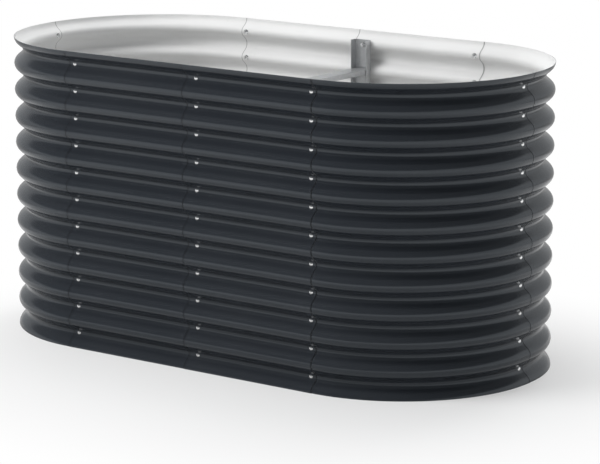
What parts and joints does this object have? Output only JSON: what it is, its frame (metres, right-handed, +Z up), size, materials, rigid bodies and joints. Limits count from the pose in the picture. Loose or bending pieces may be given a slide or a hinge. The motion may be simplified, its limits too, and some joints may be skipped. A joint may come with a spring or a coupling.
{
  "type": "raised garden bed",
  "caption": "Oval raised garden bed, open top and bottom, of ribbed sheet steel panels lapped and bolted at upright seams, with a braced middle.",
  "frame": {"origin": "middle of the bed's footprint, on the ground", "axes": "+X along the long side to the right seen from the front, +Y from front to back, +Z up"},
  "size_m": [1.6022, 0.8033, 0.8096],
  "materials": {
    "painted_sheet": "satin anthracite paint outside, off-white coat inside",
    "galvanised": "galvanised, fine spangle",
    "zinc_plated": "bright zinc plating"
  },
  "bodies": {
    "root": {"front_left_corner_panel": "painted_sheet", "front_right_corner_panel": "painted_sheet", "back_right_corner_panel": "painted_sheet", "back_left_corner_panel": "painted_sheet", "front_left_side_panel": "painted_sheet", "front_right_side_panel": "painted_sheet", "back_left_side_panel": "painted_sheet", "back_right_side_panel": "painted_sheet", "front_upright": "galvanised", "back_upright": "galvanised", "upper_cross_bar": "galvanised", "lower_cross_bar": "galvanised", "front_left_seam_bolts": "zinc_plated", "front_left_seam_nuts": "zinc_plated", "front_middle_seam_bolts": "zinc_plated", "front_middle_seam_nuts": "zinc_plated", "front_right_seam_bolts": "zinc_plated", "front_right_seam_nuts": "zinc_plated", "right_end_seam_bolts": "zinc_plated", "right_end_seam_nuts": "zinc_plated", "back_right_seam_bolts": "zinc_plated", "back_right_seam_nuts": "zinc_plated", "back_middle_seam_bolts": "zinc_plated", "back_middle_seam_nuts": "zinc_plated", "back_left_seam_bolts": "zinc_plated", "back_left_seam_nuts": "zinc_plated", "left_end_seam_bolts": "zinc_plated", "left_end_seam_nuts": "zinc_plated"}
  },
  "joints": []
}
